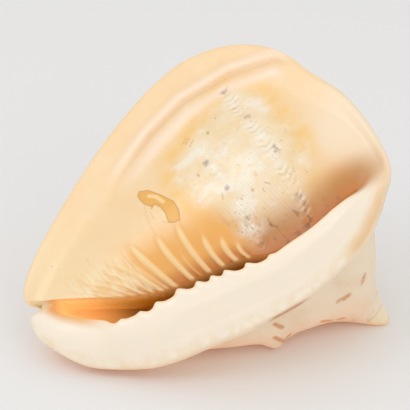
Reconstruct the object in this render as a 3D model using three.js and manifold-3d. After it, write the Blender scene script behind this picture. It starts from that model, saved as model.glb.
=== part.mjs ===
import * as THREE from 'three';
import { mergeVertices } from 'three/addons/utils/BufferGeometryUtils.js';
import Module from 'manifold-3d';

// A horned helmet shell, grown as one piece, lying on its back with its mouth turned up.
// Shell frame, mm: x towards the outer lip, y towards the spire, z out of the mouth's face.
// The whole surface is one closed skin of rings round the mouth: hollow, throat, face, rim,
// back of the flare, body whorl. Columns run round the mouth from the canal along the lip.

// How the shell lies: directions of the spire and of the mouth's face once it rests.
const SPIRE_UP = new THREE.Vector3(0.7297, 0.3321, 0.5976);
const FACE_UP = new THREE.Vector3(-0.3014, -0.6283, 0.7172);
const WORN_FLAT = 0.9; // depth ground off the points it lies on

// Rings in each part of the skin; columns per station where the edge is plain, and the
// stretches of stations where it is.
const RINGS = { hollow: 6, throat: 4, face: 12, rim: 3, back: 3, body: 16 };
const PLAIN_COLUMNS = 3;
const PLAIN_STRETCHES = [[0, 5], [11.67, 22.33], [27.33, 32]];

// Stations round the mouth from the canal along the lip: edge of the mouth, outer edge of the
// flare, how much it is parietal shield (1) rather than lip (0), radius of the rolled rim.
const STATIONS = [
  { inner: [-5, 9, -17], outer: [-10, 1, -19], shield: 0.5, rim: 1.2 },
  { inner: [2, 6, -7], outer: [-6, -7, -8], shield: 0, rim: 1.8 },
  { inner: [12, 9, -2], outer: [7, -11, -7], shield: 0, rim: 2.6 },
  { inner: [24, 17, 0], outer: [25, -7, -8], shield: 0, rim: 3.4 },
  { inner: [35, 25, 3], outer: [41, 0, -11], shield: 0, rim: 4 },
  { inner: [43, 29, 6], outer: [54, 12, -14], shield: 0, rim: 4.5 },
  { inner: [48, 39, 7], outer: [68, 28, -15], shield: 0, rim: 5 },
  { inner: [54, 50, 8], outer: [77, 44, -15], shield: 0, rim: 5 },
  { inner: [58, 65, 9], outer: [85, 64, -15], shield: 0, rim: 5 },
  { inner: [65, 82, 10], outer: [93, 83, -15], shield: 0, rim: 5 },
  { inner: [73, 100, 10], outer: [99, 103, -15], shield: 0, rim: 5 },
  { inner: [81, 118, 10], outer: [104, 124, -15], shield: 0, rim: 5 },
  { inner: [84, 136, 10], outer: [105, 145, -15], shield: 0, rim: 5 },
  { inner: [86, 152, 9], outer: [105, 165, -13], shield: 0, rim: 5 },
  { inner: [86, 168, 8], outer: [100, 182, -11], shield: 0, rim: 4.5 },
  { inner: [84, 180, 5], outer: [93, 195, -8], shield: 0.2, rim: 4 },
  { inner: [82, 188, -2], outer: [84, 208, -4], shield: 0.6, rim: 3 },
  { inner: [80, 184, -10], outer: [61, 216, -4], shield: 1, rim: 2.4 },
  { inner: [79, 173, -14], outer: [31, 220, -4], shield: 1, rim: 2.2 },
  { inner: [79, 161, -14], outer: [4, 216, -4], shield: 1, rim: 2.2 },
  { inner: [79, 149, -14], outer: [-23, 212, -4], shield: 1, rim: 2.2 },
  { inner: [77, 137, -13], outer: [-47, 196, -5], shield: 1, rim: 2.2 },
  { inner: [72, 124, -12], outer: [-62, 171, -6], shield: 1, rim: 2.2 },
  { inner: [62, 111, -11], outer: [-65, 145, -6], shield: 1, rim: 2.2 },
  { inner: [56, 98, -10], outer: [-63, 119, -6.5], shield: 1, rim: 2.2 },
  { inner: [51, 85, -10], outer: [-58, 93, -6.5], shield: 1, rim: 2.2 },
  { inner: [46, 72, -9], outer: [-51, 68, -6.5], shield: 1, rim: 2.2 },
  { inner: [39, 59, -9], outer: [-43, 44, -6.5], shield: 1, rim: 2.2 },
  { inner: [29, 45, -9], outer: [-34, 21, -6.5], shield: 1, rim: 2.2 },
  { inner: [17, 31, -9], outer: [-25, 5, -7], shield: 1, rim: 2.2 },
  { inner: [6, 19, -10], outer: [-17, -2, -8], shield: 1, rim: 2 },
  { inner: [-2, 11, -13], outer: [-13, -1, -11], shield: 0.8, rim: 1.5 },
];

// Radius of the last whorl, of its swelling behind the lip and of the whorl under the
// shield, each as [height along the shell, radius].
const LAST_WHORL = [[10, 0], [14, 9], [24, 19], [40, 28], [60, 37], [88, 50], [114, 64],
  [130, 71.5], [148, 78], [156, 75], [166, 66], [178, 54], [190, 40], [200, 26], [208, 11], [213, 0]];
const SWELLING = [[10, 0], [30, 6], [50, 14], [70, 19], [95, 19], [114, 13], [148, 5], [175, 0]];
const SWELLING_CENTRE = 12;
const SWELLING_WIDTH = 24;
const OLD_WHORL = [[-8, 0], [0, 9], [20, 19], [40, 29], [60, 39], [85, 51], [110, 61],
  [135, 68], [152, 70], [168, 68], [180, 61], [192, 50], [203, 36], [212, 18]];
const SHIELD_LEVEL = -6;

// Horns and knobs on the last whorl: height along the shell, degrees from the lip side over
// the back, how far each stands out, half width.
const KNOBS = [
  [142, 27, 25, 12], [148, 58, 5, 10], [148, 90, 21, 10.5], [148, 122, 15, 10], [149, 155, 11, 9],
  [91, 14, 6.5, 8], [90, 44, 2.5, 8], [90, 75, 5, 8], [90, 106, 5, 8], [90, 137, 4.5, 8],
  [90, 167, 4, 8], [60, 40, 2, 7], [60, 72, 3, 7], [60, 104, 3, 7], [60, 136, 3, 7],
];

// Teeth along the lip: station, how far each stands into the mouth, half width in stations.
const TEETH = [[5.4, 1.6, 0.24], [6.55, 2, 0.24], [7.4, 3, 0.22], [8.35, 3.8, 0.2], [9, 3.4, 0.15],
  [9.48, 3.4, 0.14], [9.92, 3.8, 0.16], [10.6, 3.6, 0.15], [11.3, 1.6, 0.12]];
const TOOTH_REACH = 6; // how far a tooth runs onto the lip
// Folds over the columella: station, height, half width in stations, length.
const PLAITS = [[22.8, 0.9, 0.13, 9], [23.3, 1.1, 0.13, 14], [23.9, 1.3, 0.13, 20],
  [24.55, 1.5, 0.13, 34], [25.35, 1.6, 0.13, 34], [26.15, 1.6, 0.13, 36], [26.7, 1.3, 0.13, 32]];
const PLAIT_OVERHANG = 0.8; // share of a fold's height that also stands into the mouth

// Coiling axis: where it starts, how far it leans sideways and back, between which heights.
const AXIS_START = { x: 4, z: -18 };
const AXIS_LEAN = { x: 14, z: -44 };
const AXIS_HEIGHTS = { x: [0, 150], z: [-20, 150] };

// How the last whorl's radius grows in turning from under the shield over the back to the
// lip: share at the start, gain over that turn, and loss between two turns beyond the lip.
const TURN_TO_LIP = 270;
const GROWTH = { start: 0.82, gain: 0.28, loss: 0.3733, beyond: [1.08, 1.3333] };

// Fold in the shield along the left side of the bulge, [x, y].
const FOLD = [[-10, 212], [-22, 196], [-33, 173], [-36.5, 155], [-36.5, 140], [-35, 122],
  [-33, 105], [-30, 88], [-26, 72]];
// The fold's cross-section: height of each wave, its distance to the fold's line, half width.
const FOLD_WAVES = [[-2, 0, 4], [1.8, 11, 6], [0.5, -10, 6]];
const FOLD_FADE = { start: 0.15, end: 0.4 }; // shares of its length over which it fades in and out
const BULGE_BLEND = 12; // width over which the bulge runs out into the flat shield
const FLARE_BLEND = [0.8, 1]; // shares of the face over which the shield meets its outer edge

// Throat: drop from the mouth's edge and set-back under it, direction it comes up in, how far
// it leans over at the top, and the heights between which it is drawn into the whorl.
const THROAT = { lipDrop: 14, shieldDrop: 24, setBack: 3, rise: 16, lean: 2, lipOver: 12, shieldOver: 14 };
const THROAT_DRAWN_IN = [120, 160];
// Back of the flare: how far in and down from the rim it meets the body, which share of that is
// left at the canal end and up to which height, and how it comes down onto the body.
const CREASE = { lipIn: 8, shieldIn: 24, lipDown: 10, shieldDown: 8, least: 0.25, heights: [-4, 40] };
const CREASE_ONTO_BODY = 0.75;
const CREASE_ARRIVE = { down: 0.6, out: 0.4 };
// How far the skin takes to run out into the hollow's oval and into the body, in shares of the
// way and in radians.
const RUN_OUT = { hollow: 0.2, shieldBody: 0.16, lipBody: 0.5 };
const HOLLOW_BLEND = 8; // width over which the oval meets the least wall
const LIP_RISE = 0.3; // slope of the lip's face at its inner edge
const FULL_ROLL = [4, 20]; // widths of the lip between which it gets its full slope

// Middle of the body, middle and half sizes of the hollow, least wall, and the two places
// where the rings close: deep in the hollow and on the back.
const BODY_MIDDLE = new THREE.Vector3(16, 112, -58);
const HOLLOW_MIDDLE = new THREE.Vector3(52, 100, -58);
const HOLLOW_HALF = new THREE.Vector3(36, 84, 46);
const LEAST_WALL = 7;
const HOLLOW_POLE = new THREE.Vector3(-0.31, 0, -0.95).normalize();
const BACK_POLE = new THREE.Vector3(0.05, -0.35, -1).normalize();

const LIP_FACE_ANGLE = THREE.MathUtils.degToRad(48); // slope of the lip where it rolls over

const toOut = new THREE.Vector3(0, 0, 1);
const lerp = THREE.MathUtils.lerp;
const smooth = THREE.MathUtils.smoothstep;
const gauss = (x) => Math.exp(-x * x);

function softMax(a, b, width) {
  const h = THREE.MathUtils.clamp(0.5 + 0.5 * (a - b) / width, 0, 1);
  return b * (1 - h) + a * h + width * h * (1 - h);
}
const softMin = (a, b, width) => -softMax(-a, -b, width);

// A soft curve through [position, value] pairs that is 0 beyond its ends.
function softCurve(pairs, softness) {
  const straight = (x) => {
    if (x <= pairs[0][0] || x >= pairs.at(-1)[0]) return 0;
    const k = pairs.findIndex((pair) => pair[0] >= x);
    const [x0, y0] = pairs[k - 1];
    const [x1, y1] = pairs[k];
    return y0 + (y1 - y0) * (x - x0) / (x1 - x0);
  };
  const reach = 12;
  return (x) => {
    let sum = 0;
    let weight = 0;
    for (let k = -reach; k <= reach; k++) {
      const w = gauss(k / reach * 2);
      sum += w * straight(x + softness * k / reach);
      weight += w;
    }
    return sum / weight;
  };
}
const lastWhorl = softCurve(LAST_WHORL, 6);
const swelling = softCurve(SWELLING, 10);
const oldWhorl = softCurve(OLD_WHORL, 7);

// The coiling axis leans back from the mouth's face towards the spire.
const axisX = (y) => AXIS_START.x + AXIS_LEAN.x * smooth(y, ...AXIS_HEIGHTS.x);
const axisZ = (y) => AXIS_START.z + AXIS_LEAN.z * smooth(y, ...AXIS_HEIGHTS.z);

// Radius of the last whorl: it grows from under the shield, over the back, to the lip.
function whorlRadius(y, degrees) {
  const grown = THREE.MathUtils.euclideanModulo(TURN_TO_LIP - degrees, 360) / TURN_TO_LIP;
  const growth = GROWTH.start + GROWTH.gain * grown - GROWTH.loss * smooth(grown, ...GROWTH.beyond);
  return lastWhorl(y) * growth + swelling(y) * gauss((degrees - SWELLING_CENTRE) / SWELLING_WIDTH);
}
function isInWhorl(p, wall) {
  const x = p.x - axisX(p.y);
  const z = p.z - axisZ(p.y);
  let degrees = THREE.MathUtils.radToDeg(Math.atan2(-z, x));
  if (degrees < -90) degrees += 360;
  return Math.hypot(x, z) < whorlRadius(p.y, degrees) - wall;
}
function distanceToWhorl(from, direction, wall) {
  let near = 1;
  let far = 170;
  for (let k = 0; k < 22; k++) {
    const middle = (near + far) / 2;
    const p = from.clone().addScaledVector(direction, middle);
    if (isInWhorl(p, wall)) near = middle;
    else far = middle;
  }
  return near;
}

const knobCentres = KNOBS.map(([y, degrees, height, width]) => {
  const radius = whorlRadius(y, degrees);
  const turn = THREE.MathUtils.degToRad(degrees);
  const centre = new THREE.Vector3(radius * Math.cos(turn), y, -radius * Math.sin(turn));
  centre.add(new THREE.Vector3(axisX(y), 0, axisZ(y)));
  return { centre, height, width };
});
// Point of the body's outside in one direction from its middle.
function bodyPoint(direction) {
  const p = BODY_MIDDLE.clone().addScaledVector(direction, distanceToWhorl(BODY_MIDDLE, direction, 0));
  const rise = knobCentres.map(({ centre, height, width }) =>
    height / (1 + (p.distanceTo(centre) / width) ** 2) ** 1.5);
  return p.addScaledVector(direction, Math.max(...rise));
}
// Point of the hollow's wall in one direction from its middle.
function hollowPoint(direction) {
  const oval = 1 / direction.clone().divide(HOLLOW_HALF).length();
  const distance = softMin(oval, distanceToWhorl(HOLLOW_MIDDLE, direction, LEAST_WALL), HOLLOW_BLEND);
  return HOLLOW_MIDDLE.clone().addScaledVector(direction, distance);
}

// How far a point has to go towards the middle of the hollow to be inside the whorl's wall.
function shareToInside(p) {
  let near = 0;
  let far = isInWhorl(p, LEAST_WALL) ? 0 : 1;
  for (let k = 0; k < 18; k++) {
    const middle = (near + far) / 2;
    if (isInWhorl(p.clone().lerp(HOLLOW_MIDDLE, middle), LEAST_WALL)) far = middle;
    else near = middle;
  }
  return far;
}

// Signed distance to the fold and how far along it the nearest place is.
function toFold(x, y) {
  let best = { distance: Infinity, side: 1, along: 0 };
  FOLD.slice(1).forEach(([x1, y1], k) => {
    const [x0, y0] = FOLD[k];
    const dx = x1 - x0;
    const dy = y1 - y0;
    const t = THREE.MathUtils.clamp(((x - x0) * dx + (y - y0) * dy) / (dx * dx + dy * dy), 0, 1);
    const ex = x - x0 - t * dx;
    const ey = y - y0 - t * dy;
    const distance = Math.hypot(ex, ey);
    if (distance < best.distance) {
      best = { distance, side: Math.sign(dx * ey - dy * ex), along: (k + t) / (FOLD.length - 1) };
    }
  });
  return best;
}
// Level of the parietal shield: the old whorl's bulge, the flat flare and the soft fold.
function shieldLevel(x, y) {
  const radius = oldWhorl(y);
  const across = Math.min(Math.abs(x - axisX(y)) / Math.max(radius, 1), 0.995);
  const bulge = axisZ(y) + radius * Math.sqrt(1 - across * across);
  const { distance, side, along } = toFold(x, y);
  const fade = smooth(along, 0, FOLD_FADE.start) * smooth(1 - along, 0, FOLD_FADE.end);
  const signed = distance * side;
  const wave = FOLD_WAVES.reduce((sum, [height, place, width]) =>
    sum + height * gauss((signed - place) / width), 0);
  return softMax(bulge, SHIELD_LEVEL, BULGE_BLEND) + fade * wave;
}

const hermite = (p0, t0, p1, t1, t) => (2 * t ** 3 - 3 * t ** 2 + 1) * p0 + (t ** 3 - 2 * t ** 2 + t) * t0
  + (-2 * t ** 3 + 3 * t ** 2) * p1 + (t ** 3 - t ** 2) * t1;
function hermitePoint(p0, t0, p1, t1, t) {
  return new THREE.Vector3(...['x', 'y', 'z'].map((k) => hermite(p0[k], t0[k], p1[k], t1[k], t)));
}
function turnTowards(from, to, share) {
  const angle = from.angleTo(to);
  const a = Math.sin((1 - share) * angle) / Math.sin(angle);
  const b = Math.sin(share * angle) / Math.sin(angle);
  return from.clone().multiplyScalar(a).addScaledVector(to, b).normalize();
}

// The stations as closed curves, sampled at the columns.
const innerCurve = new THREE.CatmullRomCurve3(
  STATIONS.map((s) => new THREE.Vector3(...s.inner)), true, 'catmullrom', 0.5);
const outerCurve = new THREE.CatmullRomCurve3(
  STATIONS.map((s) => new THREE.Vector3(...s.outer)), true, 'catmullrom', 0.5);
const shareCurve = new THREE.CatmullRomCurve3(
  STATIONS.map((s) => new THREE.Vector3(s.shield, s.rim, 0)), true, 'catmullrom', 0.5);
const plainPlaces = PLAIN_STRETCHES.flatMap(([from, to]) =>
  Array.from({ length: Math.round((to - from) * PLAIN_COLUMNS) }, (_, k) => from + k / PLAIN_COLUMNS));
const ridgePlaces = [...TEETH, ...PLAITS].flatMap(([at, , width]) => [at - width, at, at + width]);
const columnPlaces = [...plainPlaces, ...ridgePlaces].sort((a, b) => a - b);

// How far the teeth stand out at one place, and how high the folds over the columella are.
const toothAt = (station) => TEETH.reduce((sum, [at, size, width]) =>
  sum + size * gauss((station - at) / width), 0);
const plaitAt = (station, distance) => PLAITS.reduce((sum, [at, size, width, length]) =>
  sum + size * gauss((station - at) / width) * (1 - smooth(distance, 0.5 * length, length)), 0);

// One column of the skin, from deep in the hollow to the back.
function column(station) {
  const place = station / STATIONS.length;
  const inner = innerCurve.getPoint(place);
  const outer = outerCurve.getPoint(place);
  const { x: share, y: rimRadius } = shareCurve.getPoint(place);
  const shield = THREE.MathUtils.clamp(share, 0, 1);
  const lip = 1 - shield;
  inner.z = inner.z * lip + shieldLevel(inner.x, inner.y) * shield;

  const outward = outerCurve.getPoint(THREE.MathUtils.euclideanModulo(place + 0.004, 1))
    .sub(outerCurve.getPoint(THREE.MathUtils.euclideanModulo(place - 0.004, 1)))
    .setZ(0).normalize().cross(toOut);
  const inward = inner.clone().sub(outer).setZ(0);
  const width = inward.length();
  inward.normalize();
  const roll = LIP_FACE_ANGLE * lip * smooth(width, ...FULL_ROLL);

  const face = [];
  for (let k = 0; k < RINGS.face; k++) {
    const t = k / (RINGS.face - 1);
    const p = inner.clone().lerp(outer, t);
    const lipLevel = hermite(inner.z, LIP_RISE * width, outer.z, -Math.tan(roll) * width, t);
    const plate = lerp(shieldLevel(p.x, p.y), outer.z, smooth(t, ...FLARE_BLEND));
    const plait = plaitAt(station, t * width) * shield;
    p.setZ(lipLevel * lip + plate * shield + plait);
    const overhang = toothAt(station) * gauss(t * width / TOOTH_REACH) + PLAIT_OVERHANG * plait
      * gauss(t * width / TOOTH_REACH);
    face.push(p.addScaledVector(inward, overhang));
  }

  const throatStart = inner.clone().addScaledVector(toOut, -THROAT.lipDrop * lip - THROAT.shieldDrop * shield)
    .addScaledVector(inward, -THROAT.setBack * lip);
  throatStart.lerp(HOLLOW_MIDDLE, shareToInside(throatStart) * smooth(inner.y, ...THROAT_DRAWN_IN));
  const up = toOut.clone().multiplyScalar(THROAT.rise).addScaledVector(inward, -THROAT.lean);
  const over = face[1].clone().sub(face[0]).normalize()
    .multiplyScalar(THROAT.lipOver * lip + THROAT.shieldOver * shield);
  const throat = [];
  for (let k = 0; k < RINGS.throat; k++) {
    throat.push(hermitePoint(throatStart, up, face[0], over, k / RINGS.throat));
  }

  const inDirection = throatStart.clone().sub(HOLLOW_MIDDLE).normalize();
  const inOffset = throatStart.clone().sub(hollowPoint(inDirection));
  const hollow = [];
  for (let k = 0; k < RINGS.hollow; k++) {
    const depth = 1 - (k + 1) / (RINGS.hollow + 1);
    const wall = hollowPoint(turnTowards(inDirection, HOLLOW_POLE, depth));
    hollow.push(wall.addScaledVector(inOffset, gauss(depth / RUN_OUT.hollow)));
  }

  const rimMiddle = outer.clone().addScaledVector(outward, -rimRadius * Math.sin(roll))
    .addScaledVector(toOut, -rimRadius * Math.cos(roll));
  const rim = [];
  for (let k = 1; k <= RINGS.rim; k++) {
    const angle = lerp(roll, Math.PI, k / RINGS.rim);
    rim.push(rimMiddle.clone().addScaledVector(outward, rimRadius * Math.sin(angle))
      .addScaledVector(toOut, rimRadius * Math.cos(angle)));
  }

  const under = rim.at(-1);
  const taper = lerp(CREASE.least, 1, smooth(outer.y, ...CREASE.heights));
  const crease = under.clone().addScaledVector(outward, -lerp(CREASE.lipIn, CREASE.shieldIn, shield) * taper)
    .addScaledVector(toOut, -lerp(CREASE.lipDown, CREASE.shieldDown, shield) * taper);
  crease.lerp(bodyPoint(crease.clone().sub(BODY_MIDDLE).normalize()), CREASE_ONTO_BODY * shield);
  const reach = crease.distanceTo(under);
  const leave = outward.clone().multiplyScalar(-reach);
  const arrive = toOut.clone().multiplyScalar(-CREASE_ARRIVE.down * reach)
    .addScaledVector(outward, -CREASE_ARRIVE.out * reach * shield);
  const back = [];
  for (let k = 1; k <= RINGS.back; k++) {
    back.push(hermitePoint(under, leave, crease, arrive, k / (RINGS.back + 1)));
  }

  const outDirection = crease.clone().sub(BODY_MIDDLE).normalize();
  const outOffset = crease.clone().sub(bodyPoint(outDirection));
  const turn = outDirection.angleTo(BACK_POLE);
  const body = [];
  for (let k = 0; k < RINGS.body; k++) {
    const share = k / RINGS.body;
    const p = bodyPoint(turnTowards(outDirection, BACK_POLE, share));
    const runOut = lerp(RUN_OUT.lipBody, RUN_OUT.shieldBody, shield);
    body.push(p.addScaledVector(outOffset, gauss(share * turn / runOut)));
  }
  return [...hollow, ...throat, ...face, ...rim, ...back, ...body];
}

// The columns joined into one closed skin, with a point closing each end.
function skin() {
  const columns = columnPlaces.map(column);
  const ringCount = columns[0].length;
  const points = columns.flat();
  const deep = new THREE.Vector3();
  columns.forEach((c) => deep.addScaledVector(c[0], 1 / columns.length));
  points.push(deep, bodyPoint(BACK_POLE));
  const triangles = [];
  columns.forEach((_, k) => {
    const here = k * ringCount;
    const next = (k + 1) % columns.length * ringCount;
    for (let r = 0; r < ringCount - 1; r++) {
      triangles.push(here + r, here + r + 1, next + r + 1, here + r, next + r + 1, next + r);
    }
    triangles.push(points.length - 2, here, next);
    triangles.push(points.length - 1, next + ringCount - 1, here + ringCount - 1);
  });
  const geometry = new THREE.BufferGeometry().setFromPoints(points);
  geometry.setIndex(triangles);
  return geometry;
}

const wasm = await Module();
wasm.setup();
function toSolid(geometry) {
  const bare = geometry.clone();
  bare.deleteAttribute('normal');
  bare.deleteAttribute('uv');
  const merged = mergeVertices(bare);
  return new wasm.Manifold(new wasm.Mesh({
    numProp: 3,
    vertProperties: new Float32Array(merged.attributes.position.array),
    triVerts: new Uint32Array(merged.index.array),
  }));
}
function toGeometry(solid) {
  const { numProp, vertProperties, triVerts } = solid.getMesh();
  const positions = [];
  for (let k = 0; k < vertProperties.length; k += numProp) {
    positions.push(...vertProperties.slice(k, k + 3));
  }
  const geometry = new THREE.BufferGeometry();
  geometry.setAttribute('position', new THREE.Float32BufferAttribute(positions, 3));
  geometry.setIndex(Array.from(triVerts));
  return geometry;
}

// Lay the shell down and grind the points it rests on to small flats.
const restingSkin = skin();
const spireUp = SPIRE_UP.clone().normalize();
const lipSide = spireUp.clone().cross(FACE_UP).normalize();
const faceUp = lipSide.clone().cross(spireUp);
restingSkin.applyMatrix4(new THREE.Matrix4().makeBasis(lipSide, spireUp, faceUp));
restingSkin.computeBoundingBox();
const { min, max } = restingSkin.boundingBox;
restingSkin.translate(-(min.x + max.x) / 2, -(min.y + max.y) / 2, -min.z - WORN_FLAT);
const ground = new THREE.BoxGeometry(400, 400, 40).translate(0, 0, -20);
const shellGeometry = toGeometry(toSolid(restingSkin).subtract(toSolid(ground)));

const shell = new THREE.Mesh(shellGeometry, new THREE.MeshStandardMaterial({
  color: 0xf5dcb9, roughness: 0.32, metalness: 0,
}));
shell.name = 'helmet_shell';
const group = new THREE.Group();
group.add(shell);

export default group;
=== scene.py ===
import math

import bpy
import numpy as np
from mathutils import Matrix, Vector


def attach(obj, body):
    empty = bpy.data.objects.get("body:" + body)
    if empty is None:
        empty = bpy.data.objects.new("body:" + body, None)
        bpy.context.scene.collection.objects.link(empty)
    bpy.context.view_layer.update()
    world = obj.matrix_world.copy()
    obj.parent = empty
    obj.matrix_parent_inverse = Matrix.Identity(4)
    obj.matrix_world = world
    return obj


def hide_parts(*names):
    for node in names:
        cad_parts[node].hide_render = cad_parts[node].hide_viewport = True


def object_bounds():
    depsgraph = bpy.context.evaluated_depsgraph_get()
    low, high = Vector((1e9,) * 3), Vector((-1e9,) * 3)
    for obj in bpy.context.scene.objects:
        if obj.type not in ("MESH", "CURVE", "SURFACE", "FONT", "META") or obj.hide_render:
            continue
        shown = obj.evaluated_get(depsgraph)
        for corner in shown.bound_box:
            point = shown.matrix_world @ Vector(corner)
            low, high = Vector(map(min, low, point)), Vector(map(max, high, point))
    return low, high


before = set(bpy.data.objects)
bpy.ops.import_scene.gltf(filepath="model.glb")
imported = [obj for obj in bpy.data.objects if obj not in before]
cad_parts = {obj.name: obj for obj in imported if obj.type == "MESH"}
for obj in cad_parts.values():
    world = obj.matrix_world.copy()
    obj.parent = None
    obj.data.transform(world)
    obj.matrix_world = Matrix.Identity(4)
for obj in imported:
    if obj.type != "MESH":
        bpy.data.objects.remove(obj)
cad_low, cad_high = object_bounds()

# ---------------------------------------------------------------- helmet shell
# A horned helmet shell, one piece of aragonite grown by the snail: a thick rolled lip, a wide
# glazed shield over the older whorl, a long toothed mouth, and a chalkier horned body behind.
# Shell sizes are in mm: x towards the outer lip, y towards the spire, z out of the mouth.

SPIRE_UP = np.array([0.7297, 0.3321, 0.5976])
FACE_UP = np.array([-0.3014, -0.6283, 0.7172])
WORN_FLAT = 0.9
LIP_FACE_ANGLE = math.radians(48)

# Mouth edge, outer edge of the flare, share of shield against lip, radius of the rolled rim.
STATIONS = [
    ((-5, 9, -17), (-10, 1, -19), 0.5, 1.2),
    ((2, 6, -7), (-6, -7, -8), 0, 1.8),
    ((12, 9, -2), (7, -11, -7), 0, 2.6),
    ((24, 17, 0), (25, -7, -8), 0, 3.4),
    ((35, 25, 3), (41, 0, -11), 0, 4),
    ((43, 29, 6), (54, 12, -14), 0, 4.5),
    ((48, 39, 7), (68, 28, -15), 0, 5),
    ((54, 50, 8), (77, 44, -15), 0, 5),
    ((58, 65, 9), (85, 64, -15), 0, 5),
    ((65, 82, 10), (93, 83, -15), 0, 5),
    ((73, 100, 10), (99, 103, -15), 0, 5),
    ((81, 118, 10), (104, 124, -15), 0, 5),
    ((84, 136, 10), (105, 145, -15), 0, 5),
    ((86, 152, 9), (105, 165, -13), 0, 5),
    ((86, 168, 8), (100, 182, -11), 0, 4.5),
    ((84, 180, 5), (93, 195, -8), 0.2, 4),
    ((82, 188, -2), (84, 208, -4), 0.6, 3),
    ((80, 184, -10), (61, 216, -4), 1, 2.4),
    ((79, 173, -14), (31, 220, -4), 1, 2.2),
    ((79, 161, -14), (4, 216, -4), 1, 2.2),
    ((79, 149, -14), (-23, 212, -4), 1, 2.2),
    ((77, 137, -13), (-47, 196, -5), 1, 2.2),
    ((72, 124, -12), (-62, 171, -6), 1, 2.2),
    ((62, 111, -11), (-65, 145, -6), 1, 2.2),
    ((56, 98, -10), (-63, 119, -6.5), 1, 2.2),
    ((51, 85, -10), (-58, 93, -6.5), 1, 2.2),
    ((46, 72, -9), (-51, 68, -6.5), 1, 2.2),
    ((39, 59, -9), (-43, 44, -6.5), 1, 2.2),
    ((29, 45, -9), (-34, 21, -6.5), 1, 2.2),
    ((17, 31, -9), (-25, 5, -7), 1, 2.2),
    ((6, 19, -10), (-17, -2, -8), 1, 2),
    ((-2, 11, -13), (-13, -1, -11), 0.8, 1.5),
]
LAST_WHORL = [(10, 0), (14, 9), (24, 19), (40, 28), (60, 37), (88, 50), (114, 64), (130, 71.5),
              (148, 78), (156, 75), (166, 66), (178, 54), (190, 40), (200, 26), (208, 11), (213, 0)]
SWELLING = [(10, 0), (30, 6), (50, 14), (70, 19), (95, 19), (114, 13), (148, 5), (175, 0)]
OLD_WHORL = [(-8, 0), (0, 9), (20, 19), (40, 29), (60, 39), (85, 51), (110, 61), (135, 68),
             (152, 70), (168, 68), (180, 61), (192, 50), (203, 36), (212, 18)]
SHIELD_LEVEL = -6
# Height along the shell, degrees from the lip over the back, how far it stands out, half width.
KNOBS = [(142, 27, 25, 12), (148, 58, 5, 10), (148, 90, 18.5, 10.5), (148, 122, 13.5, 10),
         (149, 155, 11, 9), (91, 14, 6.5, 8), (90, 44, 2.5, 8), (90, 75, 5, 8), (90, 106, 5, 8),
         (90, 137, 4.5, 8), (90, 167, 4, 8), (60, 40, 2, 7), (60, 72, 3, 7), (60, 104, 3, 7),
         (60, 136, 3, 7)]
FOLD = [(-8, 214), (-20, 208), (-34, 182), (-42, 150), (-41, 122), (-35.5, 95), (-30, 76)]
# Station, how far each tooth stands into the mouth, half width in stations.
TEETH = [(5.4, 1.6, 0.24), (6.55, 2, 0.24), (7.4, 3, 0.22), (8.35, 3.8, 0.2), (9, 3.4, 0.15),
         (9.48, 3.4, 0.14), (9.92, 3.8, 0.16), (10.6, 3.6, 0.15), (11.3, 1.6, 0.12)]
# Station, height, half width in stations, length, sideways bend of each fold over the columella.
PLAITS = [(22.8, 1.1, 0.13, 12, 0), (23.3, 1.4, 0.14, 18, 0), (23.9, 1.5, 0.13, 25, 0.05),
          (24.55, 1.7, 0.13, 40, 0.05), (24.95, 0.7, 0.09, 24, 0.05), (25.35, 1.8, 0.13, 38, 0.1),
          (26.15, 2, 0.14, 42, 0.25), (26.48, 0.8, 0.1, 34, 0.5), (26.75, 1.5, 0.13, 40, 0.9),
          (27.1, 1, 0.12, 36, 1.3), (27.45, 1, 0.12, 34, 1.7), (27.85, 0.9, 0.12, 32, 2),
          (28.25, 0.7, 0.12, 28, 2.2), (28.65, 0.6, 0.12, 24, 2.4)]
# Pale knots of the older whorl that show through the bulge: x, y, height, half width.
KNOTS = [(-17, 171, 0.9, 3.6), (0, 169, 0.7, 3), (17, 168.5, 1.1, 3.6), (33, 165, 0.9, 3.2),
         (45, 163.5, 0.9, 3.2), (66, 157, 1.1, 3), (72, 152, 1, 2.8), (-5, 136, 0.8, 2.8),
         (10, 135, 0.7, 3), (19, 135, 0.9, 3.4), (31, 132, 0.8, 3), (43, 131, 0.9, 3.2),
         (53, 127, 0.9, 3.2), (63, 124.5, 0.9, 3)]

# Coiling axis, sideways and in depth: where it starts, how far it leans, between which heights.
AXIS_X = (4, 14, 0, 150)
AXIS_Z = (-18, -44, -20, 150)
# Growth of the last whorl over its turn, in degrees, from under the shield to the lip: share at
# the start, gain over the turn, loss beyond the lip and the turns between which it is lost.
TURN_TO_LIP = 270
GROWTH_START = 0.82
GROWTH_GAIN = 0.28
GROWTH_LOSS = 0.3733
LOSS_TURNS = (1.08, 1.3333)
SWELLING_AT = 12
SWELLING_WIDTH = 24
# The fold's crease and the ridge on each side: height, distance from its line, half width.
FOLD_WAVES = [(1, -5, 3.5), (1.3, 8, 5), (-0.9, 0, 1.8)]
BULGE_BLEND = 12
# The lip's face: slope at the mouth, height of its crest and of the ledge at its rim.
LIP_RISE = 0.3
LIP_CREST = 0.9
LIP_LEDGE = 0.7
FLARE_BLEND = (0.78, 1.0)
TOOTH_REACH = 6
PLAIT_OVERHANG = 0.8
# For the lip and for the shield: drop of the throat and how far it leans over at the top, how
# far in and down the crease behind the flare lies, how slowly the body leaves it.
THROAT_DROP = (14, 24)
THROAT_OVER = (12, 14)
CREASE_IN = (8, 24)
CREASE_DOWN = (10, 8)
BODY_RUN_OUT = (0.5, 0.16)
THROAT_SET_BACK = 3
THROAT_RISE = 16
THROAT_LEAN = 2
CANAL_WALL = 3
CREASE_ON_BODY = 0.75

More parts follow.
